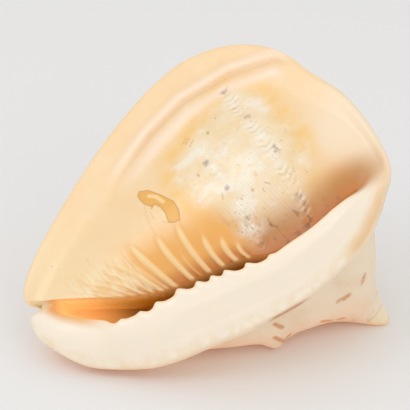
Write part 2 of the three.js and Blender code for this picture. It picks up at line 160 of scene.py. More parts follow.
BODY_MIDDLE = np.array([16.0, 112.0, -58.0])
HOLLOW_MIDDLE = np.array([52.0, 100.0, -58.0])
HOLLOW_HALF = np.array([36.0, 84.0, 46.0])
LEAST_WALL = 7
UP = np.array([0.0, 0.0, 1.0])

RINGS = {"hollow": 12, "throat": 16, "face": 92, "rim": 9, "back": 7, "body": 66}
COLUMN_COUNT = 476
CROWDED = [(4.6, 12.0), (22.2, 28.2)]
CROWDING = 1.9


def unit(v):
    return v / np.linalg.norm(v, axis=-1, keepdims=True)


def smooth(x, low, high):
    t = np.clip((x - low) / (high - low), 0, 1)
    return t * t * (3 - 2 * t)


def bell(x):
    return np.exp(-x * x)


def soft_max(a, b, width):
    steep = 4 * math.log(2) / width
    return b + np.logaddexp(0, steep * (a - b)) / steep


def soft_curve(pairs, softness):
    """A soft curve through (position, value) pairs that is 0 beyond its ends."""
    xs = [p[0] for p in pairs]
    ys = [p[1] for p in pairs]
    table = np.linspace(xs[0] - 40, xs[-1] + 40, 1200)
    total = np.zeros_like(table)
    weight = 0.0
    for k in range(-12, 13):
        w = bell(k / 6)
        total += w * np.interp(table + softness * k / 12, xs, ys, left=0, right=0)
        weight += w
    return lambda x: np.interp(x, table, total / weight)


def closed_curve(points, at):
    """A smooth closed curve through the stations, at places given in stations."""
    p = np.asarray(points, float)
    k = np.floor(at).astype(int)
    f = (at - k)[:, None]
    before, here, after, beyond = (p[(k + j) % len(p)] for j in (-1, 0, 1, 2))
    return 0.5 * (2 * here + (after - before) * f
                  + (2 * before - 5 * here + 4 * after - beyond) * f ** 2
                  + (3 * here - before - 3 * after + beyond) * f ** 3)


def hermite(p0, t0, p1, t1, t):
    return ((2 * t ** 3 - 3 * t ** 2 + 1) * p0 + (t ** 3 - 2 * t ** 2 + t) * t0
            + (-2 * t ** 3 + 3 * t ** 2) * p1 + (t ** 3 - t ** 2) * t1)


def turn_towards(start, end, share):
    angle = np.arccos(np.clip((start * end).sum(-1, keepdims=True), -1, 1))
    return unit(np.sin((1 - share) * angle) * start + np.sin(share * angle) * end)


last_whorl = soft_curve(LAST_WHORL, 6)
swelling = soft_curve(SWELLING, 10)
old_whorl = soft_curve(OLD_WHORL, 7)


def axis_x(y):
    start, lean, low, high = AXIS_X
    return start + lean * smooth(y, low, high)


def axis_z(y):
    start, lean, low, high = AXIS_Z
    return start + lean * smooth(y, low, high)


def whorl_radius(y, degrees):
    """Radius of the last whorl: it grows from under the shield, over the back, to the lip."""
    grown = np.mod(TURN_TO_LIP - degrees, 360) / TURN_TO_LIP
    growth = GROWTH_START + GROWTH_GAIN * grown - GROWTH_LOSS * smooth(grown, *LOSS_TURNS)
    return last_whorl(y) * growth + swelling(y) * bell((degrees - SWELLING_AT) / SWELLING_WIDTH)


def depth_in_whorl(p):
    """How deep a point lies under the whorl's outside, mm."""
    x = p[..., 0] - axis_x(p[..., 1])
    z = p[..., 2] - axis_z(p[..., 1])
    degrees = np.degrees(np.arctan2(-z, x))
    degrees = np.where(degrees < -90, degrees + 360, degrees)
    return whorl_radius(p[..., 1], degrees) - np.hypot(x, z)


def distance_to_whorl(middle, direction, wall):
    near = np.full(len(direction), 1.0)
    far = np.full(len(direction), 170.0)
    for _ in range(24):
        half = (near + far) / 2
        inside = depth_in_whorl(middle + direction * half[:, None]) > wall
        near = np.where(inside, half, near)
        far = np.where(inside, far, half)
    return near


def knob_centre(y, degrees):
    radius = whorl_radius(np.array(float(y)), np.array(float(degrees)))
    turn = math.radians(degrees)
    return np.array([axis_x(y) + radius * math.cos(turn), y, axis_z(y) - radius * math.sin(turn)])


def body_point(direction):
    p = BODY_MIDDLE + direction * distance_to_whorl(BODY_MIDDLE, direction, 0)[:, None]
    rise = np.zeros(len(p))
    for y, degrees, height, width in KNOBS:
        away = np.linalg.norm(p - knob_centre(y, degrees), axis=1)
        rise = np.maximum(rise, height / (1 + (away / width) ** 2) ** 1.5)
    return p + direction * rise[:, None]


def hollow_point(direction):
    oval = 1 / np.linalg.norm(direction / HOLLOW_HALF, axis=1)
    wall = distance_to_whorl(HOLLOW_MIDDLE, direction, LEAST_WALL)
    return HOLLOW_MIDDLE + direction * -soft_max(-oval, -wall, 8)[:, None]


def to_line(x, y, line):
    """Distance to a polyline, the side of it, and how far along it the nearest place is."""
    line = np.asarray(line, float)
    best = np.full(np.shape(x), 1e9)
    side = np.zeros(np.shape(x))
    along = np.zeros(np.shape(x))
    for k in range(len(line) - 1):
        step = line[k + 1] - line[k]
        t = np.clip(((x - line[k, 0]) * step[0] + (y - line[k, 1]) * step[1]) / (step @ step), 0, 1)
        dx = x - line[k, 0] - t * step[0]
        dy = y - line[k, 1] - t * step[1]
        away = np.hypot(dx, dy)
        nearer = away < best
        best = np.where(nearer, away, best)
        side = np.where(nearer, np.sign(step[0] * dy - step[1] * dx), side)
        along = np.where(nearer, (k + t) / (len(line) - 1), along)
    return best, side, along


def inside_outline(x, y, outline):
    """Signed distance to a closed outline, above 0 inside it."""
    ring = list(outline) + [outline[0]]
    away = to_line(x, y, ring)[0]
    crossings = np.zeros(np.shape(x), int)
    for (x0, y0), (x1, y1) in zip(ring, ring[1:]):
        spans = (y0 > y) != (y1 > y)
        rise = (y1 - y0) if y1 != y0 else 1e-9
        crossings += spans & (x < (x1 - x0) * (y - y0) / rise + x0)
    return np.where(crossings % 2 == 1, away, -away)


def fold_wave(x, y):
    """The shallow crease along the bulge and the soft ridge on each side of it."""
    away, side, along = to_line(x, y, FOLD)
    fade = smooth(along, 0, 0.15) * smooth(1 - along, 0, 0.4)
    signed = away * side
    return fade * sum(rise * bell((signed - at) / half) for rise, at, half in FOLD_WAVES)


def shield_level(x, y):
    """Height of the shield: the old whorl's bulge, the flat flare and the soft fold."""
    radius = old_whorl(y)
    across = np.clip(np.abs(x - axis_x(y)) / np.maximum(radius, 1), 0, 0.995)
    bulge = axis_z(y) + radius * np.sqrt(1 - across ** 2)
    return soft_max(bulge, SHIELD_LEVEL, BULGE_BLEND) + fold_wave(x, y)


def tooth_at(station):
    return sum(size * bell((station - at) / width) for at, size, width in TEETH)


def plait_at(station, away):
    total = 0.0
    for at, size, width, length, bend in PLAITS:
        share = np.clip(away / length, 0, 1)
        middle = at - 0.007 * away + bend * (away / 40) ** 2 + 0.7 * share * (1 - share)
        total = total + size * bell((station - middle) / width) * (1 - smooth(away, 0.45 * length, length))
    return total


# Columns round the mouth, closer together along the teeth and the folds.
fine = np.linspace(0, len(STATIONS), 3201)
crowd = np.ones_like(fine)
for start, stop in CROWDED:
    crowd += CROWDING * smooth(fine, start - 0.5, start) * (1 - smooth(fine, stop, stop + 0.5))
running = np.concatenate([[0], np.cumsum((crowd[1:] + crowd[:-1]) / 2)])
station = np.interp(np.arange(COLUMN_COUNT) / COLUMN_COUNT * running[-1], running, fine)

inner = closed_curve([s[0] for s in STATIONS], station)
outer = closed_curve([s[1] for s in STATIONS], station)
shield = np.clip(closed_curve([[s[2]] for s in STATIONS], station)[:, 0], 0, 1)
rim_radius = closed_curve([[s[3]] for s in STATIONS], station)[:, 0]
ahead = closed_curve([s[1] for s in STATIONS], station + 0.128)
behind = closed_curve([s[1] for s in STATIONS], station - 0.128)
along_rim = unit((ahead - behind) * [1, 1, 0])
outward = np.stack([along_rim[:, 1], -along_rim[:, 0], 0 * along_rim[:, 0]], 1)
inner[:, 2] = inner[:, 2] * (1 - shield) + shield_level(inner[:, 0], inner[:, 1]) * shield
inward = unit((inner - outer) * [1, 1, 0])
width = np.linalg.norm((inner - outer)[:, :2], axis=1)
lip_part = (1 - shield)[:, None]
shield_part = shield[:, None]
roll = LIP_FACE_ANGLE * (1 - shield) * smooth(width, 4, 20)

# The face: lip on one side of the mouth, shield on the other.
face = []
face_ridge = []
for k in range(RINGS["face"]):
    t = k / (RINGS["face"] - 1)
    p = inner * (1 - t) + outer * t
    away = t * width
    lip_level = hermite(inner[:, 2], LIP_RISE * width, outer[:, 2], -np.tan(roll) * width, t)
    crest = LIP_CREST * bell((away - 0.36 * width) / 2.2) * smooth(inner[:, 1], 40, 80)
    crest = crest + LIP_LEDGE * smooth(away, 0.7 * width, 0.82 * width) * smooth(inner[:, 1], 20, 60)
    plate = shield_level(p[:, 0], p[:, 1])
    for x, y, height, half in KNOTS:
        plate = plate + height * bell(np.hypot(p[:, 0] - x, p[:, 1] - y) / half)
    blend = smooth(np.array(t), *FLARE_BLEND)
    kept_fold = fold_wave(p[:, 0], p[:, 1]) * blend * (1 - smooth(np.array(t), 0.9, 1.0))
    plate = plate * (1 - blend) + outer[:, 2] * blend + kept_fold
    plait = plait_at(station, away) * shield
    tooth = tooth_at(station) * (1 - shield)
    near = bell(away / TOOTH_REACH)
    tooth_rise = 0.35 * tooth * bell((away - 3) / 3)
    p[:, 2] = (lip_level + crest) * (1 - shield) + plate * shield + plait + tooth_rise
    face.append(p + inward * ((tooth + PLAIT_OVERHANG * plait) * near)[:, None])
    face_ridge.append(plait)
face = np.array(face)

def by_side(pair):
    """A size that is one thing on the lip and another on the shield."""
    return pair[0] * lip_part + pair[1] * shield_part


# The throat drops from the mouth's edge into the hollow.
deep = inner - UP * by_side(THROAT_DROP) - inward * (THROAT_SET_BACK * lip_part)
# It thins towards the canal, where the floor of the mouth runs out as a ramp.
wall = CANAL_WALL + (LEAST_WALL - CANAL_WALL) * smooth(inner[:, 1], 20, 60)
low = np.zeros(len(deep))
high = np.where(depth_in_whorl(deep) > wall, 0.0, 1.0)
for _ in range(18):
    half = (low + high) / 2
    inside = depth_in_whorl(deep + (HOLLOW_MIDDLE - deep) * half[:, None]) > wall
    high = np.where(inside, half, high)
    low = np.where(inside, low, half)
pulled = high * np.maximum(smooth(inner[:, 1], 120, 160), 1 - smooth(inner[:, 1], 8, 24))
deep = deep + (HOLLOW_MIDDLE - deep) * pulled[:, None]
over = unit(face[1] - face[0]) * by_side(THROAT_OVER)
rise = UP * THROAT_RISE - inward * THROAT_LEAN
throat = [hermite(deep, rise, face[0], over, k / RINGS["throat"]) for k in range(RINGS["throat"])]

# The hollow closes at a point deep behind the mouth.
hollow_pole = unit(np.array([-0.31, 0, -0.95]))
in_direction = unit(deep - HOLLOW_MIDDLE)
in_offset = deep - hollow_point(in_direction)
hollow = []
for k in range(RINGS["hollow"]):
    share = 1 - (k + 1) / (RINGS["hollow"] + 1)
    wall = hollow_point(turn_towards(in_direction, hollow_pole[None], share))
    hollow.append(wall + in_offset * bell(share / 0.2))

# The rim rolls over, the back of the flare runs to a crease, and the body closes behind.
rim_middle = outer - (outward * np.sin(roll)[:, None] + UP * np.cos(roll)[:, None]) * rim_radius[:, None]
rim = []
for k in range(1, RINGS["rim"] + 1):
    angle = roll + (math.pi - roll) * k / RINGS["rim"]
    rim.append(rim_middle + (outward * np.sin(angle)[:, None] + UP * np.cos(angle)[:, None])
               * rim_radius[:, None])
under = rim[-1]
taper = (0.25 + 0.75 * smooth(outer[:, 1], -4, 40))[:, None]
crease = under - outward * by_side(CREASE_IN) * taper - UP * by_side(CREASE_DOWN) * taper
on_body = body_point(unit(crease - BODY_MIDDLE))
crease = crease * (1 - CREASE_ON_BODY * shield_part) + on_body * CREASE_ON_BODY * shield_part
reach = np.linalg.norm(crease - under, axis=1)[:, None]
back = [hermite(under, -outward * reach, crease, -UP * 0.6 * reach - outward * 0.4 * reach * shield_part,
                k / (RINGS["back"] + 1)) for k in range(1, RINGS["back"] + 1)]
back_pole = unit(np.array([0.05, -0.35, -1.0]))
out_direction = unit(crease - BODY_MIDDLE)
out_offset = crease - body_point(out_direction)
turned = np.arccos(np.clip(out_direction @ back_pole, -1, 1))
fade_turn = by_side(BODY_RUN_OUT)[:, 0]
body = []
for k in range(RINGS["body"]):
    share = (k / RINGS["body"]) ** 1.15
    p = body_point(turn_towards(out_direction, back_pole[None], share))
    body.append(p + out_offset * bell(share * turned / fade_turn)[:, None])

rings = np.array([*hollow, *throat, *face, *rim, *back, *body])
ring_count = len(rings)
points = np.vstack([rings.reshape(-1, 3), hollow[0].mean(0), body_point(back_pole[None])[0]])

# What each ring is, as values the finish is drawn from.
first_face = RINGS["hollow"] + RINGS["throat"]
last_face = first_face + RINGS["face"]
into_mouth = np.zeros((ring_count, COLUMN_COUNT))
for k in range(first_face - 1, -1, -1):
    step = np.linalg.norm(rings[k] - rings[k + 1], axis=1)
    into_mouth[k] = into_mouth[k + 1] + step
from_edge = np.full((ring_count, COLUMN_COUNT), 200.0)
from_edge[:first_face] = 0
for k in range(RINGS["face"]):
    from_edge[first_face + k] = width * k / (RINGS["face"] - 1)
behind_rim = np.zeros((ring_count, COLUMN_COUNT))
for k in range(last_face, ring_count):
    behind_rim[k] = behind_rim[k - 1] + np.linalg.norm(rings[k] - rings[k - 1], axis=1)
ridge = np.zeros((ring_count, COLUMN_COUNT))
ridge[first_face:last_face] = np.array(face_ridge)
for k in range(first_face):
    ridge[k] = face_ridge[0] * bell(into_mouth[k] / 7)
to_rim = np.zeros((ring_count, COLUMN_COUNT))
to_rim[:last_face] = (width[None, :] - from_edge[:last_face])
shield_all = np.tile(shield, (ring_count, 1))

x_all, y_all = points[:-2, :2].T.reshape(2, ring_count, COLUMN_COUNT)
on_face = (from_edge < 199) & (into_mouth <= 0)

# Outlines seen on the face, x and y: the older whorl's bulge, the chip and the line of a painted highlight
# in it.
BULGE = [(-12, 116), (-17, 124), (-22, 149), (-31, 178), (-15, 188), (10, 188), (35, 185), (57, 174),
         (61, 166), (74, 154), (80, 140), (66, 124), (50, 116), (30, 110), (10, 108)]
CHIP = [(-15.8, 92.5), (-14.2, 90.4), (-10.8, 89.4), (-4.5, 89.6), (0.6, 91.8), (3.4, 89.4), (1.2, 94.2),
        (5.5, 95.6), (11.5, 95.2), (17.4, 92.8), (20.2, 95.6), (21.6, 99.2), (16.4, 102.8),
        (9.5, 104.2), (3.5, 102.4), (-0.7, 101.2), (-6.4, 99.2), (-11.5, 97.2)]
CHIP_HIGHLIGHT_LINE = [(-7, 95.2), (-2, 98.2), (4.5, 99.2)]
# Hair cracks in the glaze.
CRACKS = [[(-4.5, 89.6), (8, 84.5), (20, 82)], [(3.4, 89.4), (9, 88)], [(17.4, 92.8), (13.5, 90.6)],
          [(-52, 61), (-47, 45), (-38, 26), (-31, 12)], [(-6, 42.5), (0, 40.4)]]
# Grey-purple and brown spots on the bulge: x, y, half width, then how brown, 0 to 1.
SPOTS = [(-26.7, 172.3, 3.2, 0.1), (0.3, 171.2, 3, 0.15), (28.3, 169.4, 3, 0.6), (31.7, 168.8, 3, 0.35),
         (-15.5, 156.9, 2, 0.4), (-10.1, 147.3, 1.8, 0.1), (15.4, 155.7, 1.8, 0.7), (6.3, 133.7, 3, 0.1),
         (8.6, 125.2, 2.2, 0.6), (28.2, 132.3, 2.6, 0.1), (59.4, 159.6, 2.8, 0.1), (46.6, 164.7, 1.8, 0.2),
         (41.9, 150.5, 1.7, 0.8), (39.4, 142.5, 2, 0.8), (44.9, 146.6, 1.7, 0.6), (44.6, 141.6, 1.4, 0.7),
         (65.8, 159.3, 2.6, 0.9), (69.3, 156.9, 2.6, 0.9), (48.5, 128.9, 2.9, 0.5), (65.1, 124.5, 3.4, 0.6),
         (77, 150, 4.2, 0.9), (76.9, 174.9, 2.8, 0.9), (70.6, 168.9, 1.8, 0.7), (75.6, 167.4, 2, 0.8),
         (78, 163, 2, 0.8), (57.2, 137.7, 1.6, 0.8), (60.2, 136.2, 2, 0.8), (64.8, 143.1, 1.6, 0.8),
         (69.3, 141.4, 1.7, 0.8), (73.1, 140.3, 1.6, 0.8), (75, 131.3, 1.8, 0.9), (51.9, 120.6, 1.5, 0.7),
         (14.1, 183.9, 1.6, 0.5), (12.9, 147.1, 1.2, 0.4), (37.3, 151.5, 1.2, 0.5), (-20.6, 22.8, 1, 0.6),
         (-16.3, 24.4, 1, 0.5), (11, 7.5, 1.5, 0.5)]
# Short orange strokes on the bulge, from one point to the next.
STROKES = [[(-20.8, 136), (-18.6, 131.6)], [(-18.6, 137.2), (-16.4, 133)], [(-14.6, 138), (-12.8, 134)],
           [(-18.6, 170.5), (-16.8, 167.5)], [(-14.2, 172.4), (-12, 168.8)], [(-10, 174), (-8, 170.6)],
           [(3, 174), (6, 169)], [(28, 128), (31, 126)], [(66, 161.5), (70, 157)], [(70, 159), (73, 154)]]
# Pale patches on the bulge: x, y, half width.
PALE_PATCHES = [(-17.5, 172.6, 5), (19.9, 168.6, 7), (-4.8, 136.6, 5.5), (12.4, 135.9, 5), (20.2, 134.9, 5),
                (39.5, 163.1, 5), (9.9, 168.4, 5), (42.1, 131.5, 7), (53.3, 126.4, 7), (30, 150, 14)]
# Yellow-orange bands: down the channel behind the bulge, and over the shield above the folds.
CHANNEL = [(30, 186), (52, 178), (62, 169), (72, 160)]
FLAME = [(-18, 52), (-2, 58), (12, 72)]
# Brown strokes on the flank behind the lip, from one point to the next.
FLANK_STROKES = [[(103.3, 152.5, -60), (103.9, 159, -55)], [(101.4, 135.2, -62.1), (103.2, 140.5, -61.5)],
                 [(102.6, 139, -63), (103.6, 143.5, -60.6)], [(91.1, 98, -44.9), (93.4, 100, -50.8)],
                 [(92.7, 92.6, -55.6), (94.4, 95.2, -65.7)], [(94.4, 95.2, -65.7), (95.1, 100.7, -63.2)],
                 [(99.8, 120.5, -71.7), (100.4, 125, -80)], [(101.4, 129, -84), (102.7, 132.3, -85.9)]]

# Two rows of slanted pale bars with painted shade between them, left by the older whorl's knobs.
ROPE = [(-27, 173), (-17, 171), (0, 169), (17, 168.5), (33, 165), (45, 163), (66, 157), (74, 152)]
LOW_ROPE = [(-8, 136), (10, 135), (31, 132), (43, 131), (53, 127), (68, 123)]

spot_grey = np.zeros(x_all.shape)
spot_brown = np.zeros(x_all.shape)
for x, y, half, brown in SPOTS:
    cone = np.clip(1 - np.hypot(x_all - x, y_all - y) / (1.5 * half), 0, 1) * on_face
    spot_grey = np.maximum(spot_grey, cone * (1 - 0.6 * brown))
    spot_brown = np.maximum(spot_brown, cone * (0.35 + 0.65 * brown))
stroke = np.full(x_all.shape, 20.0)
for line in STROKES:
    stroke = np.minimum(stroke, to_line(x_all, y_all, line)[0])
crack = np.full(x_all.shape, 20.0)
for line in CRACKS:
    crack = np.minimum(crack, to_line(x_all, y_all, line)[0])
pale = np.zeros(x_all.shape)
for x, y, half in PALE_PATCHES:
    pale = np.maximum(pale, bell(np.hypot(x_all - x, y_all - y) / half))
mark = np.full(x_all.shape, 30.0)
for start, end in np.array(FLANK_STROKES):
    step = end - start
    from_start = points[:-2] - start
    t = np.clip(from_start @ step / (step @ step), 0, 1)
    away = np.linalg.norm(from_start - t[:, None] * step, axis=1)
    mark = np.minimum(mark, away.reshape(x_all.shape))
horn_tip = body_point(unit((knob_centre(*KNOBS[0][:2]) - BODY_MIDDLE)[None]))[0]
rope_away = to_line(x_all, y_all, ROPE)[0]
low_rope_away = to_line(x_all, y_all, LOW_ROPE)[0]
from_horn = np.linalg.norm(points[:-2] - horn_tip, axis=1).reshape(x_all.shape)
bulge = inside_outline(x_all, y_all, BULGE)
fold_away, fold_side, fold_along = to_line(x_all, y_all, FOLD)
fold_signed = fold_away * fold_side
fold_fade = smooth(fold_along, 0, 0.12) * smooth(1 - fold_along, 0, 0.3)
plait_zone = (smooth(y_all, 52, 66) * (1 - smooth(y_all, 112, 128)) * (1 - smooth(from_edge, 18, 46))
              * shield_all)

outside = smooth(behind_rim, 0.2, 3)
VALUES = {
    "shield": shield_all,
    "into_mouth": into_mouth,
    "from_edge": from_edge,
    "to_rim": to_rim,
    "outside": outside,
    "behind_rim": behind_rim,
    "ridge": np.clip(ridge, 0, 1.5),
    "bulge": smooth(bulge, -5, 7) * shield_all,
    "bulge_side": bell((bulge + 2) / 7) * shield_all * smooth(y_all, 92, 108) * (1 - smooth(x_all, 20, 55)),
    "channel": bell(np.hypot(x_all - 72, y_all - 184) / 15) * shield_all,
    "channel_band": bell(to_line(x_all, y_all, CHANNEL)[0] / 6) * shield_all,
    "pale_rear": smooth(x_all, 5, 40) * smooth(y_all, 176, 196) * shield_all,
    # Masks of the painted highlights on the ridges beside the fold and of the painted shade in its crease.
    "painted_fold_highlight": (bell((fold_signed - 8) / 4) + bell((fold_signed + 5) / 3)) * fold_fade,
    "painted_fold_shade": bell(fold_away / 1.4) * fold_fade,
    "rope": (1 - smooth(rope_away, 2, 5.5)) * shield_all,
    "low_rope": (1 - smooth(low_rope_away, 1.5, 4.5)) * shield_all,
    "rope_away": np.minimum(rope_away, low_rope_away),
    "plait_zone": plait_zone,
    "flame": bell(to_line(x_all, y_all, FLAME)[0] / 10) * shield_all,
    "chip": inside_outline(x_all, y_all, CHIP) - 50 * (1 - on_face),
    "painted_chip_highlight": to_line(x_all, y_all, CHIP_HIGHLIGHT_LINE)[0],
    "crack": crack + 50 * (1 - on_face),
    "stroke": stroke + 50 * (1 - on_face),
    "spot_grey": spot_grey,
    "spot_brown": spot_brown,
    "pale": pale * on_face,
    "mark": mark + 50 * (1 - outside),
    "from_horn": from_horn,
}

lip_side = unit(np.cross(SPIRE_UP, FACE_UP))
spire_way = unit(SPIRE_UP)
face_way = np.cross(lip_side, spire_way)
laid = points[:, :1] * lip_side + points[:, 1:2] * spire_way + points[:, 2:] * face_way
shift = np.array(cad_low) * 1000 - laid.min(0)
shift[2] = -laid[:, 2].min() - WORN_FLAT
laid = laid + shift
laid[:, 2] = np.maximum(laid[:, 2], 0)

quads = []
across = np.arange(COLUMN_COUNT)
for k in range(ring_count - 1):
    here = k * COLUMN_COUNT
    quads.append(np.stack([here + across, here + COLUMN_COUNT + across,
                           here + COLUMN_COUNT + (across + 1) % COLUMN_COUNT,
                           here + (across + 1) % COLUMN_COUNT], 1))
faces = np.concatenate(quads).tolist()
last = (ring_count - 1) * COLUMN_COUNT
for k in range(COLUMN_COUNT):
    faces.append([len(points) - 2, k, (k + 1) % COLUMN_COUNT])
    faces.append([len(points) - 1, last + (k + 1) % COLUMN_COUNT, last + k])

shell_mesh = bpy.data.meshes.new("helmet_shell_skin")
shell_mesh.from_pydata((laid * 0.001).tolist(), [], faces)
shell_mesh.shade_smooth()
facing = np.zeros(len(points) * 3, np.float32)
shell_mesh.vertex_normals.foreach_get("vector", facing)
# Where the shell faces down close to the table: the mask of the painted glow that warms the table under it.
facing_down = -facing.reshape(-1, 3)[:-2, 2].reshape(x_all.shape)
close_to_table = 1 - smooth(laid[:-2, 2].reshape(x_all.shape), 10, 60)
VALUES["glow_under"] = smooth(facing_down, 0.0, 0.8) * close_to_table * outside
for name, values in VALUES.items():
    flat = np.concatenate([values.ravel(), [values[0].mean(), values[-1].mean()]])
    layer = shell_mesh.attributes.new(name, "FLOAT", "POINT")
    layer.data.foreach_set("value", flat.astype(np.float32))
place = shell_mesh.attributes.new("place", "FLOAT_VECTOR", "POINT")
place.data.foreach_set("vector", points.astype(np.float32).ravel())
shell = bpy.data.objects.new("shell_skin", shell_mesh)
bpy.context.scene.collection.objects.link(shell)


def colour(code):
    """An sRGB hex code as a linear colour."""
    parts = [int(code[k:k + 2], 16) / 255 for k in (0, 2, 4)]
    return [c / 12.92 if c <= 0.04045 else ((c + 0.055) / 1.055) ** 2.4 for c in parts] + [1.0]


def add_node(tree, kind, feeds=None, **settings):
    """A node with its settings, and values or other nodes' outputs on its sockets."""
    made = tree.nodes.new(kind)
    for name, value in settings.items():
        setattr(made, name, value)
    for socket, value in (feeds or {}).items():
        if isinstance(value, bpy.types.NodeSocket):
            tree.links.new(value, made.inputs[socket])
        else:
            made.inputs[socket].default_value = value
    return made


# Shell aragonite: a thin glossy glaze inside the mouth, on lip and shield, dull and chalky
# behind; light soaks a little way in, which gives the warm porcelain look.
aragonite = bpy.data.materials.new("glazed aragonite")
aragonite.use_nodes = True
grain = aragonite.node_tree
grain.nodes.clear()
place_out = add_node(grain, "ShaderNodeAttribute", attribute_name="place").outputs["Vector"]
value_out = {name: add_node(grain, "ShaderNodeAttribute", attribute_name=name).outputs["Fac"]
             for name in VALUES}
axes = add_node(grain, "ShaderNodeSeparateXYZ", {0: place_out}).outputs


def between(value, low, high, low_out=0.0, high_out=1.0):
    """A mask that goes softly from one value to the other between two sizes."""
    return add_node(grain, "ShaderNodeMapRange", {0: value, 1: low, 2: high, 3: low_out, 4: high_out},
                    interpolation_type="SMOOTHSTEP").outputs[0]


def both(*masks):
    """Where all the masks meet."""
    met = masks[0]
    for mask in masks[1:]:
        met = add_node(grain, "ShaderNodeMath", {0: met, 1: mask}, operation="MULTIPLY").outputs[0]
    return met


def laid_on(pattern, strength, base):
    """A pattern of some strength on top of a base value."""
    return add_node(grain, "ShaderNodeMath", {0: pattern, 1: strength, 2: base},
                    operation="MULTIPLY_ADD").outputs[0]


def waves(phase):
    """Even ridges, one for each turn of the phase."""
    return add_node(grain, "ShaderNodeMath", {0: phase}, operation="SINE").outputs[0]


def cloud(scale_mm, detail, stretch=(1, 1, 1)):
    """Soft noise with blotches of about scale_mm."""
    spread = [s / scale_mm for s in stretch]
    moved = add_node(grain, "ShaderNodeVectorMath", {0: place_out, 1: spread}, operation="MULTIPLY")
    return add_node(grain, "ShaderNodeTexNoise", {"Vector": moved.outputs[0], "Scale": 1.0,
                                                   "Detail": detail}).outputs[0]


soft_cloud = cloud(26, 3)
small_cloud = cloud(7, 4)
crumb = cloud(1.6, 2)
shell_colour = None


def tint(mask, code):
    """Lays a colour over what is there, as far as the mask says."""
    global shell_colour
    if shell_colour is None:
        shell_colour = colour(code)
        return
    mixed = add_node(grain, "ShaderNodeMix", {0: mask, 6: shell_colour, 7: colour(code)}, data_type="RGBA")
    shell_colour = mixed.outputs[2]


front = between(axes[1], 20, 70, 1, 0)
tint(1.0, "F8D6A6")
tint(both(between(soft_cloud, 0.4, 0.7), 0.55), "F9DDB4")
tint(both(between(small_cloud, 0.5, 0.75), 0.25), "F3CB9A")
tint(both(front, 0.6), "F6DDAE")
tint(both(value_out["pale_rear"], 0.8), "F6E3C6")
tint(both(value_out["bulge"], 0.85), "F6E0BC")
mottle = cloud(11, 4, (1, 0.7, 1))
tint(both(value_out["bulge"], between(mottle, 0.5, 0.62), 0.5), "F0D6A2")
tint(both(value_out["bulge"], between(mottle, 0.36, 0.47, 1, 0), 0.7), "F8EFDE")
tint(both(value_out["bulge_side"], between(mottle, 0.35, 0.6, 0.3, 0.85)), "FACB7E")
# Painted highlights on the soft ridges beside the fold, painted shade in its crease.
tint(both(value_out["painted_fold_highlight"], 0.8), "FFE6CF")
tint(both(value_out["painted_fold_shade"], 0.4), "DDA877")
tint(both(value_out["channel_band"], between(mottle, 0.4, 0.62, 0.2, 0.75)), "F5CB82")
tint(both(value_out["channel"], 0.9), "E0A04A")
# Towards the mouth the bulge darkens to orange-brown.
near_mouth = both(between(value_out["from_edge"], 8, 32, 1, 0), value_out["shield"])
tint(both(near_mouth, between(axes[1], 108, 130), 0.9), "BC7A30")
# Yellow-orange flames run out over the shield above the folds.
streak = cloud(5, 2, (0.4, 1.2, 0.5))
tint(both(value_out["plait_zone"], 0.9), "F1AF52")
tint(both(value_out["flame"], between(streak, 0.4, 0.62, 0.4, 0.95)), "F1B352")
edge_dark = both(between(value_out["from_edge"], 0, 12, 1, 0), value_out["shield"])
tint(both(edge_dark, between(axes[1], 34, 62), 0.9), "C97518")
tint(both(between(value_out["ridge"], 0.25, 1.2), 0.8), "FCDDA4")
# Pale wrinkles beside the canal, about 12 mm long and 2.5 mm apart.
wrinkle = cloud(3.2, 2, (0.26, 1.25, 0.5))
wrinkle_zone = both(between(axes[1], 18, 30), between(axes[1], 58, 70, 1, 0))
wrinkle_zone = both(wrinkle_zone, between(value_out["from_edge"], 20, 42, 1, 0))
wrinkle_zone = both(wrinkle_zone, value_out["shield"])
tint(both(wrinkle_zone, between(wrinkle, 0.48, 0.68), 0.55), "FDEBC6")
tint(both(wrinkle_zone, between(wrinkle, 0.34, 0.5, 1, 0), 0.5), "F3C079")
# Pale patches, grey-purple and brown spots and orange strokes of the old colour pattern.
tint(both(value_out["pale"], between(small_cloud, 0.35, 0.6, 0.15, 1.15)), "F9F0DC")
tint(both(between(laid_on(crumb, 0.6, value_out["spot_grey"]), 0.6, 1.1), 0.75),
     "A8948F")
tint(both(between(laid_on(crumb, 0.6, value_out["spot_brown"]), 0.65, 1.15), 0.75),
     "A86C42")
tint(both(between(value_out["stroke"], 0.3, 1.1, 1, 0), 0.5), "E0A25E")
# Slanted bars of the two rows, 4 mm apart, pale, with painted shade in brown between them.
bar_phase = laid_on(axes[0], 2 * math.pi / 4, both(value_out["rope_away"], 0.8))
bars = waves(laid_on(small_cloud, 5, bar_phase))
rope = laid_on(value_out["low_rope"], 0.4, value_out["rope"])
rope = both(rope, between(cloud(9, 2), 0.38, 0.62, 0.1, 1))
tint(both(between(bars, 0, 0.8), rope, 0.6), "FBF2DF")
tint(both(between(bars, -0.9, -0.2, 1, 0), rope, 0.35), "D3B48C")
# Woven fine lines over the bulge, really under 1 mm apart, drawn 1.8 mm apart.
line_x = waves(laid_on(axes[0], 2 * math.pi / 1.8, both(small_cloud, 4)))
line_y = waves(laid_on(axes[1], 2 * math.pi / 2.2, both(soft_cloud, 6)))
woven = add_node(grain, "ShaderNodeMath", {0: between(line_x, 0.3, 1), 1: between(line_y, 0.5, 1)},
                 operation="MAXIMUM").outputs[0]
woven = both(woven, value_out["bulge"], between(small_cloud, 0.4, 0.6))
tint(both(woven, between(axes[0], 0, 60, 0.3, 1), 0.16), "C48C58")
